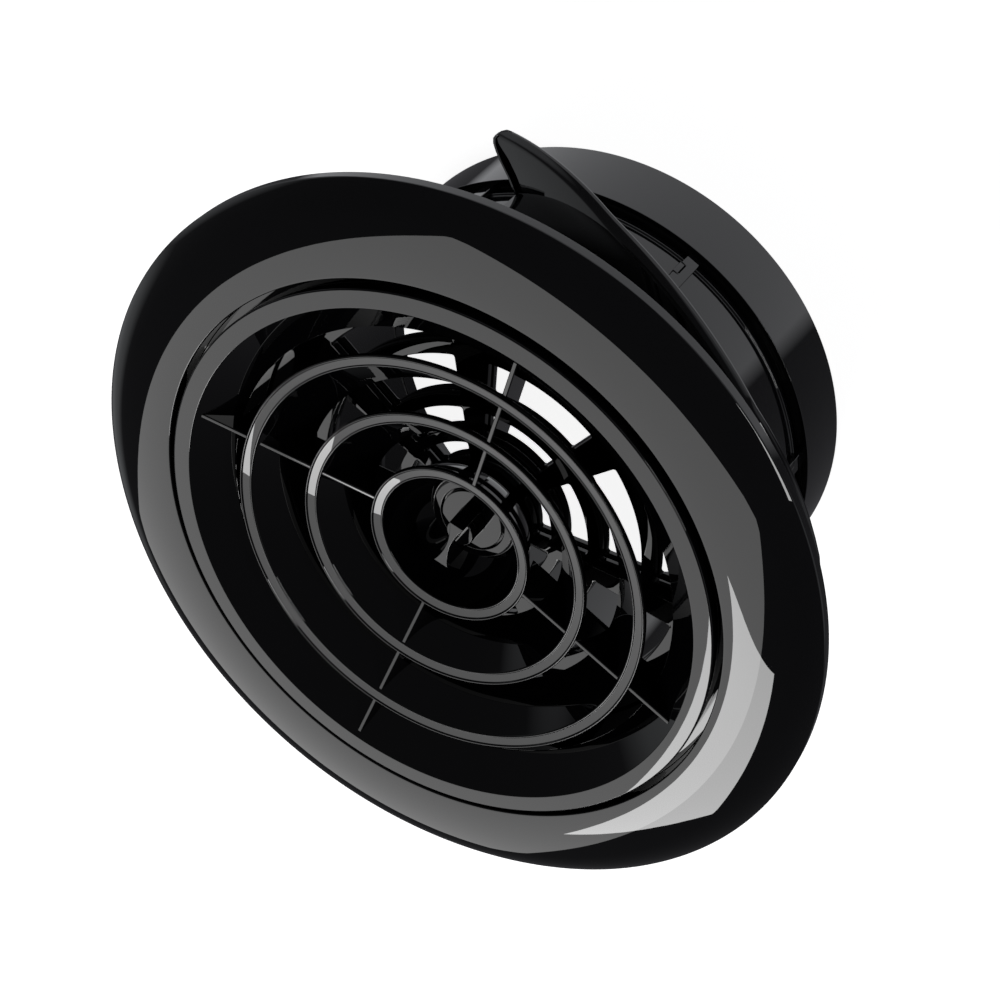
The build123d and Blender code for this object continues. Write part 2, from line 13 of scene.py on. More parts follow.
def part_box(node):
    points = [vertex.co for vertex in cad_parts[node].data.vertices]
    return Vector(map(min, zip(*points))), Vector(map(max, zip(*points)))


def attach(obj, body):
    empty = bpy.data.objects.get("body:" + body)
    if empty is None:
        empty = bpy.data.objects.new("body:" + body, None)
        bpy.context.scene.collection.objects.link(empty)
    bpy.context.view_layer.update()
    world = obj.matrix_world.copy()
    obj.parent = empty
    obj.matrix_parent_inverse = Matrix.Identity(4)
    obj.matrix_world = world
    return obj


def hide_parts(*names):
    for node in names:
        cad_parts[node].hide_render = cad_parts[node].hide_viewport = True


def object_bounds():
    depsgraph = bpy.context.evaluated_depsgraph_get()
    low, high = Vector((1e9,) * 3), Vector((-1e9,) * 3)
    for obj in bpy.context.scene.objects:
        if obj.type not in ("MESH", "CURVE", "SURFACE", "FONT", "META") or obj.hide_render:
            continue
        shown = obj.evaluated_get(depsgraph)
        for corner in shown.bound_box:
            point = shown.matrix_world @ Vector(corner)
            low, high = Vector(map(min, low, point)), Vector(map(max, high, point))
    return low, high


bl_info = {
    "name": "Ceiling Air Diffuser",
    "version": (1, 0, 0),
    "blender": (4, 5, 0),
    "location": "View3D > Sidebar > Diffuser",
    "description": "Builds a round ceiling air diffuser piece by piece",
    "category": "Object",
}

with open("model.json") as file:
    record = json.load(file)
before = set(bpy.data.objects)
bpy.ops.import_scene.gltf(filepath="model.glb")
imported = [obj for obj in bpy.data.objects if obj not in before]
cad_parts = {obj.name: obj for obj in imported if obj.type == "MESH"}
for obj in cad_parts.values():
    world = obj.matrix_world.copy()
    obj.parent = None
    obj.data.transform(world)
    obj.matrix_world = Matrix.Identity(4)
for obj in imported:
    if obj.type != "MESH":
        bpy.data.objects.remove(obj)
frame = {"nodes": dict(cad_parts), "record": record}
CAD_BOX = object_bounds()


def millimetres(node):
    """Lowest and highest corner of a CAD node, in millimetres."""
    low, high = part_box(node)
    return low * 1000, high * 1000


_, FACE_HIGH = millimetres("face_ring")
CORE_LOW, CORE_HIGH = millimetres("core_ring")
_, NECK_HIGH = millimetres("neck_housing")
CUP_LOW, CUP_HIGH = millimetres("hub_cup")
KNOB_LOW, KNOB_HIGH = millimetres("control_knob")
STATOR_LOW, STATOR_HIGH = millimetres("damper_stator")
ROTOR_LOW, ROTOR_HIGH = millimetres("damper_rotor")
_, LOCK_HIGH = millimetres("lock_ring")
SEAL_LOW, SEAL_HIGH = millimetres("ceiling_gasket")
PAD_LOW, PAD_HIGH = millimetres("collar_gasket")
_, SNAP_HIGH = millimetres("snap_ring")
BUSH_LOW, BUSH_HIGH = millimetres("spindle_bush")

LIP_Z = CORE_HIGH.z
LIP_R = CORE_HIGH.x - 5.2
RIM_SLOPE = 0.213
WIND_START = 239  # degrees: from here a wing's blade falls rearward
WIND_PITCH = 0.95  # its fall, in millimetres per degree
LOUVRES = (("louvre_ring_1", 42.7), ("louvre_ring_2", 61.3))


def length(name, default, words):
    """A size in metres that a user may change."""
    return FloatProperty(name=name, description=words, default=default, unit="LENGTH")


def colour(name, default, words):
    """A colour that a user may change."""
    return FloatVectorProperty(
        name=name, description=words, default=default, size=4, min=0, max=1, subtype="COLOR"
    )


class DiffuserSizes(bpy.types.PropertyGroup):
    edge: length("Edge Rounding", 0.00025, "Rounding of the moulded edges")
    bead: length("Rim Bead", 0.0002, "Height of the fine beads on the louvre rims")
    slot_edge: length("Slot Rounding", 0.0004, "Rounding of the damper's slot edges")
    slot_corner: length("Slot Corner", 0.0014, "Corner radius of the damper's slots")
    spoke_stand: length("Spoke Stand", 0.00012, "How far the spokes stand above the louvre rims")
    floor_size: length("Floor Size", 24.0, "Side of the floor")


class DiffuserColours(bpy.types.PropertyGroup):
    plastic: colour("Plastic", (0.0012, 0.0012, 0.0015, 1), "Gloss black moulded plastic")
    rubber: colour("Rubber", (0.012, 0.012, 0.012, 1), "Matt black foam and rubber")
    steel: colour("Steel", (0.42, 0.42, 0.43, 1), "Zinc-plated steel")
    bush: colour("Bush", (0.5, 0.49, 0.45, 1), "Natural bearing plastic")
    floor: colour("Floor", (0.9, 0.9, 0.9, 1), "Pale floor")


# ------------------------------------------------------------------ shader maths
class Value:
    """A shader value: arithmetic on it adds the Math nodes."""

    def __init__(self, finish, socket):
        self.finish = finish
        self.socket = socket

    def math(self, operation, *others):
        node = self.finish.node("ShaderNodeMath", {"operation": operation})
        for socket, item in zip(node.inputs, (self, *others)):
            self.finish.feed(socket, item)
        return Value(self.finish, node.outputs[0])

    def __add__(self, other):
        return self.math("ADD", other)

    def __mul__(self, other):
        return self.math("MULTIPLY", other)

    def __sub__(self, other):
        return self.math("SUBTRACT", other)

    def __rsub__(self, other):
        return (self * -1) + other

    __radd__ = __add__
    __rmul__ = __mul__

    def clamp(self):
        return self.math("MAXIMUM", 0.0).math("MINIMUM", 1.0)


class Finish:
    """A material being made: its node tree, its shader and its pattern coordinates."""

    def __init__(self, name):
        self.material = bpy.data.materials.new(name)
        self.material.use_nodes = True
        self.tree = self.material.node_tree
        self.shader = self.tree.nodes["Principled BSDF"]
        self.place = self.node("ShaderNodeTexCoord").outputs["Object"]

    def node(self, kind, settings=None, **inputs):
        """Adds a node, sets its settings first and then its sockets, by value or by link."""
        node = self.tree.nodes.new(kind)
        for key, value in (settings or {}).items():
            if key == "stops":
                ramp = node.color_ramp.elements
                while len(ramp) < len(value):
                    ramp.new(0.5)
                for element, (position, shade) in zip(ramp, value):
                    element.position = position
                    element.color = (shade, shade, shade, 1)
            else:
                setattr(node, key, value)
        for key, value in inputs.items():
            self.feed(node.inputs[key.replace("_", " ")], value)
        return node

    def feed(self, socket, item):
        if isinstance(item, Value):
            item = item.socket
        if isinstance(item, bpy.types.NodeSocket):
            self.tree.links.new(item, socket)
        else:
            socket.default_value = item

    def set(self, **sockets):
        for key, value in sockets.items():
            self.feed(self.shader.inputs[key.replace("_", " ")], value)

    def noise(self, scale, detail=4.0, stretch=(1, 1, 1)):
        """Soft noise from 0 to 1, its grain per metre."""
        mapping = self.node("ShaderNodeMapping", Vector=self.place, Scale=stretch)
        node = self.node(
            "ShaderNodeTexNoise", Vector=mapping.outputs[0], Scale=scale, Detail=detail
        )
        return Value(self, node.outputs["Fac"])

    def ramp(self, value, *stops):
        node = self.node("ShaderNodeValToRGB", {"stops": stops}, Fac=value)
        return Value(self, node.outputs["Color"])

    def blend(self, factor, first, second):
        """Colour between two colours."""
        node = self.node("ShaderNodeMix", {"data_type": "RGBA"})
        self.feed(node.inputs["Factor"], factor)
        self.feed(node.inputs["A"], first)
        self.feed(node.inputs["B"], second)
        return node.outputs["Result"]

    def bump(self, height, strength, distance):
        node = self.node("ShaderNodeBump", Height=height, Strength=strength, Distance=distance)
        self.set(Normal=node.outputs[0])


def shade(colour_value, factor):
    """A colour made lighter or darker."""
    return tuple(min(1.0, c * factor) for c in colour_value[:3]) + (1,)


def gloss_black(name, rough=0.004, haze=0.01):
    """Polished black moulding: faint flow marks, a fine dust haze and a soft surface waviness."""
    base = bpy.context.scene.diffuser_colours.plastic
    finish = Finish(name)
    flow = finish.noise(22, 3, (1, 1, 0.35))
    haze_mask = finish.ramp(finish.noise(190, 6), (0.42, 0), (0.72, 1))
    speck = finish.ramp(finish.noise(2600, 2), (0.70, 0), (0.76, 1))
    wave = finish.noise(70, 2)
    finish.set(
        Base_Color=finish.blend((flow + speck * 0.35).clamp(), shade(base, 0.8), shade(base, 1.5)),
        Roughness=(flow * (haze * 0.6) + haze_mask * (haze * 0.8) + speck * 0.03 + rough).clamp(),
        IOR=1.5,
        Specular_IOR_Level=0.5,
        Coat_Weight=0.0,
    )
    finish.bump(wave, 0.012, 0.0004)
    return finish.material


def soft_black(name, grain=900):
    """Foam or rubber: dull, finely pored, a little dusty."""
    base = bpy.context.scene.diffuser_colours.rubber
    finish = Finish(name)
    pores = finish.ramp(finish.noise(grain, 5), (0.35, 0), (0.65, 1))
    dust = finish.ramp(finish.noise(60, 4), (0.45, 0), (0.8, 1))
    mottle = (pores * 0.5 + dust * 0.4).clamp()
    finish.set(
        Base_Color=finish.blend(mottle, shade(base, 0.7), shade(base, 3)),
        Roughness=(pores * 0.1 + dust * 0.06 + 0.8).clamp(),
    )
    finish.bump(pores, 0.35, 0.0003)
    return finish.material


def plated_steel(name):
    """Zinc-plated steel: fine drawn lines, clouded plating."""
    base = bpy.context.scene.diffuser_colours.steel
    finish = Finish(name)
    cloud = finish.noise(420, 4)
    lines = finish.noise(900, 3, (1, 1, 12))
    finish.set(
        Base_Color=finish.blend(cloud, shade(base, 0.75), shade(base, 1.2)),
        Roughness=(cloud * 0.14 + lines * 0.12 + 0.2).clamp(),
        Metallic=1.0,
    )
    finish.bump(lines, 0.15, 0.00008)
    return finish.material


def bearing_plastic(name):
    """Natural bearing plastic: waxy, with a faint turned grain."""
    base = bpy.context.scene.diffuser_colours.bush
    finish = Finish(name)
    cloud = finish.noise(500, 4)
    finish.set(
        Base_Color=finish.blend(cloud, shade(base, 0.85), shade(base, 1.08)),
        Roughness=(cloud * 0.15 + 0.42).clamp(),
    )
    finish.bump(cloud, 0.1, 0.0001)
    return finish.material


FINISHES = {
    "black_plastic": gloss_black,
    "foam_rubber": soft_black,
    "steel": plated_steel,
    "bush_plastic": bearing_plastic,
}


def finish_for(slot):
    """The material of a slot, made once."""
    name = slot + "_finish"
    return bpy.data.materials.get(name) or FINISHES[slot](name)


# ------------------------------------------------------------------ modelling helpers
def arc(start, middle, end, steps=10):
    """Outline points along the arc through three points."""
    (x1, y1), (x2, y2), (x3, y3) = start, middle, end
    a, b, c, d = x2 - x1, y2 - y1, x3 - x1, y3 - y1
    e, f = (x2**2 - x1**2 + y2**2 - y1**2) / 2, (x3**2 - x1**2 + y3**2 - y1**2) / 2
    span = a * d - b * c
    cx, cy = (e * d - b * f) / span, (a * f - e * c) / span
    radius = math.hypot(x1 - cx, y1 - cy)
    angle = math.atan2(y1 - cy, x1 - cx)
    sweep = (math.atan2(y3 - cy, x3 - cx) - angle + math.pi) % math.tau - math.pi
    return [
        (cx + radius * math.cos(angle + sweep * i / steps),
         cy + radius * math.sin(angle + sweep * i / steps))
        for i in range(steps + 1)
    ]


def spun(bm, outline, steps=180):
    """Spins a closed (radius, height) outline in millimetres into a ring."""
    corners = [bm.verts.new((r / 1000, 0, z / 1000)) for r, z in outline]
    edges = [bm.edges.new((one, two)) for one, two in zip(corners, corners[1:] + corners[:1])]
    bmesh.ops.spin(
        bm, geom=corners + edges, cent=(0, 0, 0), axis=(0, 0, 1), angle=math.tau,
        steps=steps, use_merge=True,
    )
    return bm


def extruded(bm, outline, depth, place):
    """Extrudes a flat outline in millimetres along its own Z and puts it in place."""
    face = bm.faces.new([bm.verts.new((x / 1000, y / 1000, 0)) for x, y in outline])
    out = bmesh.ops.extrude_face_region(bm, geom=[face])["geom"]
    raised = [item for item in out if isinstance(item, bmesh.types.BMVert)]
    bmesh.ops.translate(bm, vec=(0, 0, depth / 1000), verts=raised)
    whole = list(set(raised) | set(face.verts))
    bmesh.ops.transform(bm, matrix=place, verts=whole)
    return whole


def turned(degrees):
    return Matrix.Rotation(math.radians(degrees), 4, "Z")


def soften(bm, width, angle=32, segments=2):
    """Rounds every edge sharper than an angle."""
    limit = math.radians(angle)
    sharp = [e for e in bm.edges if len(e.link_faces) == 2 and e.calc_face_angle(0) > limit]
    bmesh.ops.bevel(
        bm, geom=sharp, offset=width, segments=segments, affect="EDGES", profile=0.5,
        material=-1, clamp_overlap=True,
    )


def piece(name, bm, body, slot, nodes=(), material=None, rounding=None):
    """Turns a bmesh into a finished piece that rides on a body and stands for its CAD nodes."""
    bmesh.ops.remove_doubles(bm, verts=bm.verts, dist=1e-6)
    bmesh.ops.recalc_face_normals(bm, faces=bm.faces)
    if rounding is None:
        rounding = bpy.context.scene.diffuser_sizes.edge
    if rounding:
        soften(bm, rounding)
    for face in bm.faces:
        face.smooth = True
    mesh = bpy.data.meshes.new(name)
    bm.to_mesh(mesh)
    bm.free()
    obj = bpy.data.objects.new(name, mesh)
    bpy.context.collection.objects.link(obj)
    weighted = obj.modifiers.new("Weighted Normals", "WEIGHTED_NORMAL")
    weighted.keep_sharp = True
    mesh.materials.append(material or finish_for(slot))
    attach(obj, body)
    if nodes:
        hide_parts(*nodes)
    return obj


def ring(name, outline, body, slot, nodes=(), **more):
    """A plain turned piece."""
    return piece(name, spun(bmesh.new(), outline), body, slot, nodes, **more)


def rim_z(radius):
    """Height of the cone on which the louvre rims lie."""
    return LIP_Z - RIM_SLOPE * (LIP_R - radius)


def beaded_rim(radius, bead):
    """Flat rim of a louvre, from its outer to its inner edge, with a fine bead on each."""
    drop = RIM_SLOPE * 3.6
    top = rim_z(radius)
    return [
        (radius, top - 0.2),
        (radius - 0.12, top + bead * 0.6),
        (radius - 0.35, top + bead),
        (radius - 0.6, top + bead * 0.5),
        (radius - 0.75, top - 0.2),
        (radius - 2.85, top - drop * 0.8 - 0.05),
        (radius - 3.0, top - drop * 0.85 + bead * 0.5),
        (radius - 3.25, top - drop * 0.92 + bead),
        (radius - 3.5, top - drop + bead * 0.6),
        (radius - 3.6, top - drop - 0.15),
    ]


# ------------------------------------------------------------------ operators
class DIFFUSER_OT_face_ring(bpy.types.Operator):
    """Adds the wide outer face ring with its rolled rim"""

    bl_idname = "diffuser.face_ring"
    bl_label = "Face Ring"

    def execute(self, context):
        rim = FACE_HIGH.x
        inner = CORE_HIGH.x + 2.0
        crown, top = inner + 16, LIP_Z - 1.1
        rim_top = LIP_Z - 6.8
        ledge = LIP_Z - 7.5
        bottom = rim_top - 2.9
        outline = [(72, ledge), (inner, ledge), (inner, top - 0.5)]
        outline += arc((inner, top - 0.5), (inner + 0.15, top - 0.15), (inner + 0.5, top), 4)[1:]
        outline += arc(
            (inner + 0.5, top), ((inner + crown) / 2, top - 0.1), (crown, top - 1), 40
        )[1:]
        outline += arc(
            (crown, top - 1),
            (crown + (rim - crown) * 0.55, rim_top + (top - 1 - rim_top) * 0.655),
            (rim - 0.02, rim_top),
            28,
        )[1:]
        outline += [(rim, rim_top - 0.2), (rim, bottom), (rim - 2.9, bottom), (rim - 2.9, rim_top)]
        outline += [(rim - 16.8, rim_top), (rim - 16.8, ledge - 2), (72, ledge - 2)]
        bm = spun(bmesh.new(), outline, 256)
        for index in range(6):
            place = turned(60 * index) @ Matrix.Translation((0.0763, 0, (ledge - 0.1) / 1000))
            bmesh.ops.create_cone(
                bm, cap_ends=True, segments=24, radius1=0.0029, radius2=0.0029, depth=0.0052,
                matrix=place,
            )
        piece("face_ring_moulding", bm, "housing", "black_plastic", ["face_ring"])
        return {"FINISHED"}


class DIFFUSER_OT_core_ring(bpy.types.Operator):
    """Adds the core's lip band with its funnel and skirt"""

    bl_idname = "diffuser.core_ring"
    bl_label = "Core Ring"

    def execute(self, context):
        outer, throat = CORE_HIGH.x, 66.55
        ledge, bottom = LIP_Z - 7.5, CORE_LOW.z
        outline = [(LIP_R, LIP_Z), (outer - 0.5, LIP_Z)]
        outline += arc(
            (outer - 0.5, LIP_Z), (outer - 0.15, LIP_Z - 0.15), (outer, LIP_Z - 0.5), 4
        )[1:]
        outline += [(outer, ledge), (outer - 1.8, ledge), (outer - 1.8, LIP_Z - 2)]
        outline += [(LIP_R + 0.2, LIP_Z - 2), (throat + 2.2, bottom), (throat, bottom)]
        outline += [(throat, bottom + 0.4)]
        ring("core_ring_moulding", outline, "housing", "black_plastic", ["core_ring"])
        return {"FINISHED"}


class DIFFUSER_OT_louvres(bpy.types.Operator):
    """Adds the conical louvre rings with beaded rims"""

    bl_idname = "diffuser.louvres"
    bl_label = "Louvre Rings"

    def execute(self, context):
        bead = context.scene.diffuser_sizes.bead * 1000
        for node, radius in LOUVRES:
            top = rim_z(radius)
            rear, rear_r = top - 14, radius - 13.6
            outline = beaded_rim(radius, bead)
            outline += [(rear_r, rear), (rear_r + 1.6, rear), (radius - 1.4, top - 2.2)]
            outline += [(radius, top - 1.4)]
            ring(node + "_moulding", outline, "housing", "black_plastic", [node], rounding=0.0001)
        return {"FINISHED"}


class DIFFUSER_OT_spokes(bpy.types.Operator):
    """Adds the thin spokes that carry the louvres and the hub"""

    bl_idname = "diffuser.spokes"
    bl_label = "Spokes"

    def execute(self, context):
        stand = context.scene.diffuser_sizes.spoke_stand * 1000
        inner = CUP_HIGH.x - 0.3
        outline = [
            (inner, rim_z(inner) + stand),
            (LIP_R - 1.2, rim_z(LIP_R - 1.2) - 1 + stand),
            (66.9, LIP_Z - 9.0),
            (65.6, rim_z(65.6) - 12),
            (20.2, rim_z(20.2) - 12),
            (22.4, rim_z(22.4) - 3),
        ]
        stand_up = Matrix.Rotation(math.radians(90), 4, "X")
        bm = bmesh.new()
        for index in range(4):
            place = turned(90 * index) @ Matrix.Translation((0, 0.00065, 0)) @ stand_up
            extruded(bm, outline, 1.3, place)
        piece("spoke_blades", bm, "housing", "black_plastic", ["louvre_spokes"], rounding=0.0003)
        return {"FINISHED"}


class DIFFUSER_OT_hub_cup(bpy.types.Operator):
    """Adds the hub cup in which the knob sits"""

    bl_idname = "diffuser.hub_cup"
    bl_label = "Hub Cup"

    def execute(self, context):
        bead = context.scene.diffuser_sizes.bead * 1000
        radius = CUP_HIGH.x
        top = rim_z(radius)
        floor = CUP_LOW.z + 2
        outline = beaded_rim(radius, bead)
        inner = outline[-1]
        outline += arc(inner, (18.3, 85.8), (12.9, floor), 14)[1:]
        outline += [(12.4, floor), (12.3, floor + 1.1), (12.1, floor + 1.3), (9.95, floor + 1.3)]
        outline += [(9.7, floor + 1.1), (9.7, floor), (4.65, floor), (4.65, CUP_LOW.z)]
        outline += arc((14.7, CUP_LOW.z), (20.1, 84.6), (radius - 1.8, top - 2.2), 14)
        outline += [(radius, top - 1.4)]
        ring("hub_cup_moulding", outline, "housing", "black_plastic", ["hub_cup"], rounding=0.0001)
        return {"FINISHED"}


class DIFFUSER_OT_knob(bpy.types.Operator):
    """Adds the knob: a disc with a waisted finger grip"""

    bl_idname = "diffuser.knob"
    bl_label = "Control Knob"

    def execute(self, context):
        low, high = KNOB_LOW.z, KNOB_HIGH.z
        bm = bmesh.new()
        spun(bm, [(3, low), (KNOB_HIGH.x, low), (KNOB_HIGH.x, low + 1.5), (3, low + 1.5)], 96)
        half = 7.7
        right = arc((2.3, -half), (0.65, 0), (2.3, half), 16)
        left = [(-x, -y) for x, y in right]
        place = Matrix.Translation((0, 0, (low + 1.4) / 1000))
        extruded(bm, right + left, high - low - 1.4, place)
        bmesh.ops.create_cone(
            bm, cap_ends=True, segments=48, radius1=0.0042, radius2=0.004,
            depth=0.0066, matrix=Matrix.Translation((0, 0, (low + 4.9) / 1000)),
        )
        piece("knob_moulding", bm, "damper", "black_plastic", ["control_knob"])
        return {"FINISHED"}


def slotted_plate(name, radius, hole, low, thickness, body, node, sizes):
    """A damper plate: sectors of rounded slots between webs."""
    span = ROTOR_HIGH.x - 2.3 - 17
    shares = ((0, 0.12), (0.2, 0.37), (0.46, 0.73), (0.82, 1))
    rows = [(17 + a * span, 17 + b * span) for a, b in shares]
    stations = [hole] + [r for row in rows for r in row] + [radius]
    start = math.radians(240.5 - 6)
    bm = bmesh.new()
    line = [
        bm.verts.new((r / 1000 * math.cos(start), r / 1000 * math.sin(start), low / 1000))
        for r in stations
    ]
    last = line + [bm.edges.new(pair) for pair in zip(line, line[1:])]
    for _ in range(7):
        for degrees, steps in ((12, 3), (360 / 7 - 12, 16)):
            out = bmesh.ops.spin(
                bm, geom=last, cent=(0, 0, 0), axis=(0, 0, 1), angle=math.radians(degrees),
                steps=steps,
            )
            last = out["geom_last"]
    bmesh.ops.remove_doubles(bm, verts=bm.verts, dist=1e-6)

    def in_slot(face):
        centre = face.calc_center_median()
        r = math.hypot(centre.x, centre.y) * 1000
        around = (math.degrees(math.atan2(centre.y, centre.x)) - 240.5 + 6) % (360 / 7)
        return around > 12 and any(a < r < b for a, b in rows)

    bmesh.ops.delete(bm, geom=[f for f in bm.faces if in_slot(f)], context="FACES")
    corners = []
    for vert in bm.verts:
        around = (math.degrees(math.atan2(vert.co.y, vert.co.x)) - 240.5 + 6) % (360 / 7)
        r = math.hypot(vert.co.x, vert.co.y) * 1000
        at_web = min(around, abs(around - 12), 360 / 7 - around) < 0.05
        if at_web and any(abs(r - edge) < 0.01 for row in rows for edge in row):
            corners.append(vert.co.copy())
    up = bmesh.ops.extrude_face_region(bm, geom=list(bm.faces))["geom"]
    raised = [item for item in up if isinstance(item, bmesh.types.BMVert)]
    bmesh.ops.translate(bm, vec=(0, 0, thickness / 1000), verts=raised)
    keys = {(round(c.x, 5), round(c.y, 5)) for c in corners}
    posts = [
        e for e in bm.edges
        if abs(e.verts[0].co.z - e.verts[1].co.z) > thickness / 2000
        and (round(e.verts[0].co.x, 5), round(e.verts[0].co.y, 5)) in keys
    ]
    bmesh.ops.bevel(
        bm, geom=posts, offset=sizes.slot_corner, segments=4, affect="EDGES", profile=0.5,
        material=-1, clamp_overlap=True,
    )
    return piece(name, bm, body, "black_plastic", [node], rounding=sizes.slot_edge)


class DIFFUSER_OT_damper(bpy.types.Operator):
    """Adds the fixed and the turning slotted plate"""

    bl_idname = "diffuser.damper"
    bl_label = "Damper Plates"

    def execute(self, context):
        sizes = context.scene.diffuser_sizes
        for name, low, high, hole, body, node in (
            ("stator_moulding", STATOR_LOW, STATOR_HIGH, 4.65, "housing", "damper_stator"),
            ("rotor_moulding", ROTOR_LOW, ROTOR_HIGH, 2.1, "damper", "damper_rotor"),
        ):
            slotted_plate(name, high.x, hole, low.z, high.z - low.z, body, node, sizes)
        return {"FINISHED"}


class DIFFUSER_OT_neck(bpy.types.Operator):
    """Adds the neck with its flange, bead, seat, snap ring groove, catches and screw bosses"""

    bl_idname = "diffuser.neck"
    bl_label = "Neck"

    def execute(self, context):
        outer, bore, top = 71.65, 69.15, NECK_HIGH.z
        seat = STATOR_LOW.z
        groove = SNAP_HIGH.z
        outline = [(bore, 6), (outer, 6), (outer, 25.9), (outer + 0.5, 26.1), (outer + 0.5, 26.9)]
        outline += [(outer, 27.1), (outer, groove - 1.1), (outer - 0.8, groove - 1.1)]
        outline += [(outer - 0.8, groove), (outer, groove), (outer, top - 2)]
        outline += [(NECK_HIGH.x, top - 2), (NECK_HIGH.x, top), (bore + 0.4, top)]
        outline += [(bore + 0.4, seat), (63.55, seat), (63.55, seat - 2)]
        outline += [(bore, seat - 2)]
        bm = spun(bmesh.new(), outline)
        catch = [(-2.4, 30), (-0.8, 30), (-0.8, 35), (-2.4, 35)]
        for index in range(7):
            angle = 259 + 360 / 7 * index
            place = turned(angle) @ on_wall(0.0715)
            extruded(bm, catch, 1.9, place)
        for index in range(4):
            place = turned(45 + 90 * index) @ Matrix.Translation((0.06635, 0, (seat - 4.5) / 1000))
            bmesh.ops.create_cone(
                bm, cap_ends=True, segments=24, radius1=0.0026, radius2=0.0026, depth=0.009,
                matrix=place,
            )
        piece("neck_moulding", bm, "housing", "black_plastic", ["neck_housing"])
        return {"FINISHED"}


def on_wall(radius):
    """Place for an outline drawn on the neck's wall: its X runs round clockwise, its Y up."""
    flat = Matrix(((0, 0, 1, 0), (-1, 0, 0, 0), (0, 1, 0, 0), (0, 0, 0, 1)))
    return Matrix.Translation((radius, 0, 0)) @ flat


class DIFFUSER_OT_collar(bpy.types.Operator):
    """Adds the duct collar with its hooked fingers"""

    bl_idname = "diffuser.collar"
    bl_label = "Duct Collar"

    def execute(self, context):
        outer, sleeve = 75.0, 71.8
        outline = [(69.15, 0), (outer - 0.8, 0), (outer, 0.8), (outer, 24), (sleeve, 24)]
        outline += [(sleeve, 5), (69.15, 5)]
        bm = spun(bmesh.new(), outline, 220)
        hook = [(-2.1, 23.7), (2.1, 23.7), (2.1, 42), (-2.1, 42), (-2.1, 35.3), (-0.5, 35.1)]
        hook += [(-0.5, 29.9), (-2.1, 29.7)]
        for index in range(7):
            angle = 259 + 360 / 7 * index
            extruded(bm, hook, 1.6, turned(angle) @ on_wall(0.0718))
        piece("collar_moulding", bm, "housing", "black_plastic", ["duct_collar"])
        return {"FINISHED"}


def wing_reach(angle):
    """Outer radius of a wing's blade at an angle."""
    reach = 92.0
    if angle < 273:
        reach += 12 * min(1.0, (273 - angle) / 34) ** 1.3
    root = 1 - (angle - 202) / 14
    if root > 0:
        reach -= (104 - 76.35 - 4) * (1 - math.sqrt(max(0.0, 1 - root**2)))
    return reach


TIP = (
    (72, 296.5), (80, 300), (84, 302.0), (86, 302.9), (88, 303.4), (89.4, 303.2), (90.5, 302.4),
    (91.3, 301.3), (91.8, 299.8), (92.0, 298.4),
)


def tip_angle(radius):
    """Angle at which the trimmed tip of a wing ends, at a radius."""
    for (r1, a1), (r2, a2) in zip(TIP, TIP[1:]):
        if radius <= r2:
            return a1 + (a2 - a1) * max(0.0, radius - r1) / (r2 - r1)
    return TIP[-1][1]


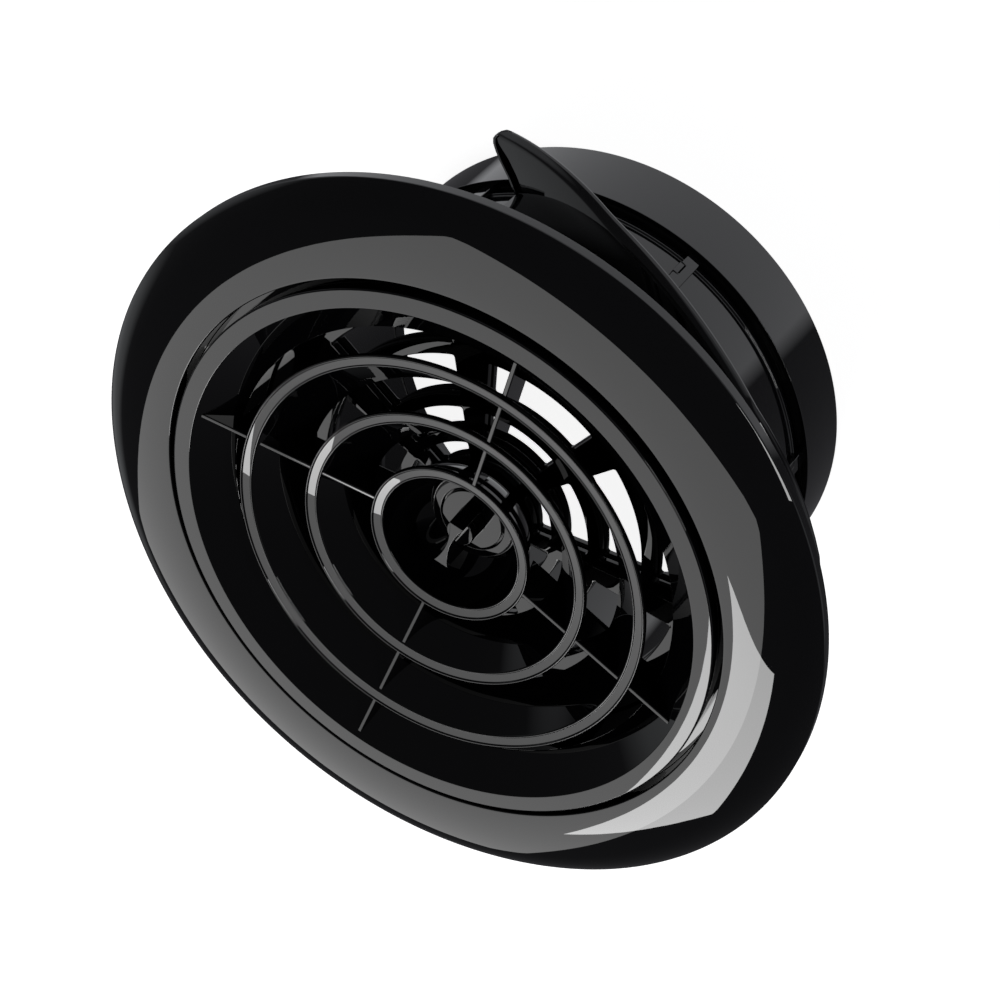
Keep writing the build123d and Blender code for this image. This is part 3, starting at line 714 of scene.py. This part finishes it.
class DIFFUSER_OT_lock_ring(bpy.types.Operator):
    """Adds the twist-lock ring with its two winding wings"""

    bl_idname = "diffuser.lock_ring"
    bl_label = "Lock Ring"

    def execute(self, context):
        top = LOCK_HIGH.z
        bm = bmesh.new()
        spun(bm, [(71.95, top - 8.6), (76.35, top - 8.6), (76.35, top), (71.95, top)])
        first, wall_in, wall_out = top - 0.5, 74.3, 75.7
        fixed = {0: wall_in, 13: wall_out, 14: wall_out, 15: wall_in}
        section = [
            (0, -2.0), (0.5, -2.0), (0, -2.0), (0.6, -2.05), (1.4, -2.3), (2.2, -2.9), (2.5, -2.7),
            (2.6, -2.3), (2.35, -1.5), (1.7, -0.7), (0.9, -0.2), (0.0, 0.0), (0.5, 0.0),
            (0, 0.0), (0, None), (0, None),
        ]
        angles = [202 + 14 * s for s in (0, 0.02, 0.06, 0.13, 0.25, 0.4, 0.6, 0.8, 1)]
        angles += [216 + (WIND_START - 216) * i / 8 for i in range(1, 9)]
        angles += [WIND_START + (296 - WIND_START) * i / 28 for i in range(1, 29)]
        angles += [296 + 9 * i / 24 for i in range(1, 25)]
        for half in (0, 180):
            row = [bm.verts.new((0.08, 0, index / 1e5)) for index in range(len(section))]
            rim = [bm.edges.new((one, two)) for one, two in zip(row, row[1:] + row[:1])]
            rows = [row]
            for _ in angles[1:]:
                out = bmesh.ops.extrude_edge_only(bm, edges=rim)["geom"]
                fresh = [item for item in out if isinstance(item, bmesh.types.BMVert)]
                rim = [item for item in out if isinstance(item, bmesh.types.BMEdge)
                       and item.verts[0] in fresh and item.verts[1] in fresh]
                follow = {}
                for vert in fresh:
                    for edge in vert.link_edges:
                        other = edge.other_vert(vert)
                        if other in rows[-1]:
                            follow[rows[-1].index(other)] = vert
                rows.append([follow[index] for index in range(len(section))])
            for angle, row in zip(angles, rows):
                reach = wing_reach(angle) - 2.6
                for index, vert in enumerate(row):
                    share, z = section[index]
                    r = fixed.get(index, reach + share)
                    if index in (1, 12):
                        r = (wall_out + reach) / 2
                    around = min(angle, tip_angle(r))
                    face = first - WIND_PITCH * max(0.0, around - WIND_START)
                    z = top - 0.1 if z is None else face + z
                    turn = math.radians(around + half)
                    vert.co = (r / 1000 * math.cos(turn), r / 1000 * math.sin(turn), z / 1000)
            bm.faces.new(rows[0])
            bm.faces.new(list(reversed(rows[-1])))
            bmesh.ops.dissolve_degenerate(bm, dist=2e-6, edges=bm.edges)
            ends = [(r, tip_angle(r)) for r in (76, 80, 84, 86, 88, 89.4, 90.5)]
            line = [[(r * math.cos(math.radians(a + half) - setback / r),
                      r * math.sin(math.radians(a + half) - setback / r)) for r, a in ends]
                    for setback in (-0.05, 1.0)]
            for vert in extruded(bm, line[0] + line[1][::-1], 1.0, Matrix.Identity(4)):
                raised = vert.co.z > 0.0005
                reach = vert.co.xy.length * 1000
                around = math.degrees(math.atan2(vert.co.y, vert.co.x)) - half
                face = first - WIND_PITCH * (around % 360 - WIND_START)
                fade = max(0.0, min(1.0, (91.0 - reach) / 7))
                vert.co.z = (face + (0.1 + 1.2 * fade if raised else -2.0)) / 1000
        piece("lock_ring_moulding", bm, "lock", "black_plastic", ["lock_ring"])
        return {"FINISHED"}


class DIFFUSER_OT_seals(bpy.types.Operator):
    """Adds the ceiling gasket, the collar gasket and the spindle's drag ring"""

    bl_idname = "diffuser.seals"
    bl_label = "Seals"

    def execute(self, context):
        outer, inner = SEAL_HIGH.x, SEAL_HIGH.x - 13.1
        low, high = SEAL_LOW.z, SEAL_HIGH.z
        outline = [(inner, high), (inner, low + 0.6), (inner + 0.5, low), (outer - 0.5, low)]
        outline += [(outer, low + 0.6), (outer, high)]
        ring("ceiling_foam", outline, "housing", "foam_rubber", ["ceiling_gasket"])
        outer, inner = PAD_HIGH.x, PAD_HIGH.x - 2.2
        low, high = PAD_LOW.z, PAD_HIGH.z
        outline = [(inner, high), (inner, low), (outer, low), (outer, high)]
        ring("collar_seal", outline, "housing", "foam_rubber", ["collar_gasket"], rounding=0.0002)
        middle = BUSH_HIGH.z + 0.65
        outline = [
            (3.65 + 0.6 * math.cos(math.tau * i / 16), middle + 0.6 * math.sin(math.tau * i / 16))
            for i in range(16)
        ]
        bm = spun(bmesh.new(), outline, 64)
        piece("drag_ring", bm, "damper", "foam_rubber", ["spindle_o_ring"], rounding=0)
        return {"FINISHED"}


class DIFFUSER_OT_spindle(bpy.types.Operator):
    """Adds the spindle's bush"""

    bl_idname = "diffuser.spindle"
    bl_label = "Spindle Bush"

    def execute(self, context):
        low, high = BUSH_LOW.z, BUSH_HIGH.z
        outline = [(3.05, low), (6.2, low), (6.2, low + 0.7), (4.65, low + 0.7), (4.65, high)]
        outline += [(3.05, high)]
        bm = spun(bmesh.new(), outline, 72)
        piece("bush_sleeve", bm, "housing", "bush_plastic", ["spindle_bush"], rounding=0.00012)
        return {"FINISHED"}


class DIFFUSER_OT_hardware(bpy.types.Operator):
    """Gives the screws, pin, washer, spindle and snap ring their finish"""

    bl_idname = "diffuser.hardware"
    bl_label = "Hardware Finish"

    def execute(self, context):
        slots = {item["node"]: item["material_slot"] for item in frame["record"]["subparts"]}
        for node, obj in frame["nodes"].items():
            if obj.hide_render:
                continue
            material = finish_for(slots[node])
            for slot in obj.material_slots:
                slot.material = material
            if not obj.material_slots:
                obj.data.materials.append(material)
        return {"FINISHED"}


def softbox(name, azimuth, elevation, wide, tall, radiance, distance=3.0):
    """A soft area light in a direction seen from the diffuser, its size in degrees."""
    light = bpy.data.lights.new(name, "AREA")
    light.shape = "RECTANGLE"
    light.size = 2 * distance * math.tan(math.radians(wide / 2))
    light.size_y = 2 * distance * math.tan(math.radians(tall / 2))
    light.energy = radiance * math.pi * light.size * light.size_y
    a, e = math.radians(azimuth), math.radians(elevation)
    way = Vector((math.cos(e) * math.cos(a), math.cos(e) * math.sin(a), math.sin(e)))
    obj = bpy.data.objects.new(name, light)
    obj.location = Vector((0, 0, 0.1)) + way * distance
    obj.rotation_mode = "QUATERNION"
    obj.rotation_quaternion = way.to_track_quat("Z", "Y")
    bpy.context.collection.objects.link(obj)
    return obj


class DIFFUSER_OT_stage(bpy.types.Operator):
    """Adds the pale floor, the soft lights and the camera"""

    bl_idname = "diffuser.stage"
    bl_label = "Stage"

    def execute(self, context):
        sizes, colours = context.scene.diffuser_sizes, context.scene.diffuser_colours
        bm = bmesh.new()
        bmesh.ops.create_grid(bm, x_segments=4, y_segments=4, size=sizes.floor_size / 2)
        bmesh.ops.translate(bm, vec=(0, 0, CAD_BOX[0].z), verts=bm.verts)
        mesh = bpy.data.meshes.new("floor")
        bm.to_mesh(mesh)
        bm.free()
        floor = bpy.data.objects.new("floor", mesh)
        context.collection.objects.link(floor)
        paint = Finish("floor_paint")
        cloud = paint.noise(3, 3)
        tint = paint.blend(cloud, shade(colours.floor, 0.985), shade(colours.floor, 1.0))
        paint.set(Base_Color=tint, Roughness=0.7, Specular_IOR_Level=0.2)
        paint.set(Emission_Color=(1, 1, 1, 1), Emission_Strength=0.9)
        mesh.materials.append(paint.material)
        floor.visible_glossy = False

        world = bpy.data.worlds.new("studio")
        context.scene.world = world
        world.use_nodes = True
        tree = world.node_tree
        coord = tree.nodes.new("ShaderNodeTexCoord")
        sky = None
        for way, edge, glow in (
            ((0.25, -0.55, -0.8), 0.64, (0.75, 0.76, 0.79, 1)),
            ((0.70, 0.68, -0.05), 0.95, (0.3, 0.31, 0.32, 1)),
            ((0.98, 0.0, -0.2), 0.93, (0.4, 0.41, 0.43, 1)),
            ((-0.98, -0.1, -0.2), 0.93, (0.4, 0.41, 0.43, 1)),
            ((-0.55, -0.8, -0.2), 0.93, (0.4, 0.41, 0.43, 1)),
            ((0.3, -0.93, -0.2), 0.93, (0.4, 0.41, 0.43, 1)),
        ):
            facing = tree.nodes.new("ShaderNodeVectorMath")
            facing.operation = "DOT_PRODUCT"
            facing.inputs[1].default_value = Vector(way).normalized()
            ramp = tree.nodes.new("ShaderNodeValToRGB")
            stops = ramp.color_ramp.elements
            stops[0].position, stops[0].color = edge - 0.03, (0.07, 0.07, 0.075, 1)
            stops[1].position, stops[1].color = edge + 0.03, glow
            tree.links.new(coord.outputs["Generated"], facing.inputs[0])
            tree.links.new(facing.outputs["Value"], ramp.inputs["Fac"])
            if sky is None:
                sky = ramp.outputs["Color"]
                continue
            mix = tree.nodes.new("ShaderNodeMix")
            mix.data_type, mix.blend_type = "RGBA", "LIGHTEN"
            mix.inputs["Factor"].default_value = 1.0
            tree.links.new(sky, mix.inputs["A"])
            tree.links.new(ramp.outputs["Color"], mix.inputs["B"])
            sky = mix.outputs["Result"]
        tree.links.new(sky, tree.nodes["Background"].inputs["Color"])

        softbox("main_softbox", 77, 42, 33, 51, 1.8)
        softbox("bright_softbox", 99.6, 42.5, 13.2, 15, 7.8)
        softbox("low_strip", 216, 24, 24, 7, 9.0)

        camera_data = bpy.data.cameras.new("camera")
        camera_data.sensor_width = 36
        camera_data.lens = 68.33
        camera = bpy.data.objects.new("camera", camera_data)
        context.collection.objects.link(camera)
        right = Vector((-0.8285, -0.2983, -0.4739)).normalized()
        forward = Vector((0.1607, 0.6840, -0.7115)).normalized()
        up = right.cross(forward).normalized()
        right = forward.cross(up)
        camera.rotation_mode = "QUATERNION"
        axes = Matrix((right, up, -forward)).transposed()
        camera.rotation_quaternion = axes.to_quaternion()
        camera.location = Vector((-0.0867, -0.3592, 0.4419))
        camera_data.clip_start, camera_data.clip_end = 0.01, 100
        context.scene.camera = camera
        context.scene.view_settings.view_transform = "Standard"
        return {"FINISHED"}


OPERATORS = (
    DIFFUSER_OT_face_ring,
    DIFFUSER_OT_core_ring,
    DIFFUSER_OT_louvres,
    DIFFUSER_OT_spokes,
    DIFFUSER_OT_hub_cup,
    DIFFUSER_OT_knob,
    DIFFUSER_OT_damper,
    DIFFUSER_OT_neck,
    DIFFUSER_OT_collar,
    DIFFUSER_OT_lock_ring,
    DIFFUSER_OT_seals,
    DIFFUSER_OT_spindle,
    DIFFUSER_OT_hardware,
    DIFFUSER_OT_stage,
)


class DIFFUSER_PT_panel(bpy.types.Panel):
    """Lists the diffuser's pieces, sizes and colours"""

    bl_idname = "DIFFUSER_PT_panel"
    bl_label = "Ceiling Air Diffuser"
    bl_space_type = "VIEW_3D"
    bl_region_type = "UI"
    bl_category = "Diffuser"

    def draw(self, context):
        for group in (context.scene.diffuser_sizes, context.scene.diffuser_colours):
            for key in group.__annotations__:
                self.layout.prop(group, key)
        for operator in OPERATORS:
            self.layout.operator(operator.bl_idname)


CLASSES = (DiffuserSizes, DiffuserColours, *OPERATORS, DIFFUSER_PT_panel)


def register():
    for item in CLASSES:
        bpy.utils.register_class(item)
    bpy.types.Scene.diffuser_sizes = PointerProperty(type=DiffuserSizes)
    bpy.types.Scene.diffuser_colours = PointerProperty(type=DiffuserColours)


def unregister():
    del bpy.types.Scene.diffuser_colours
    del bpy.types.Scene.diffuser_sizes
    for item in reversed(CLASSES):
        bpy.utils.unregister_class(item)


def main():
    register()
    for operator in OPERATORS:
        group, name = operator.bl_idname.split(".")
        getattr(getattr(bpy.ops, group), name)()


if __name__ == "__main__":
    main()
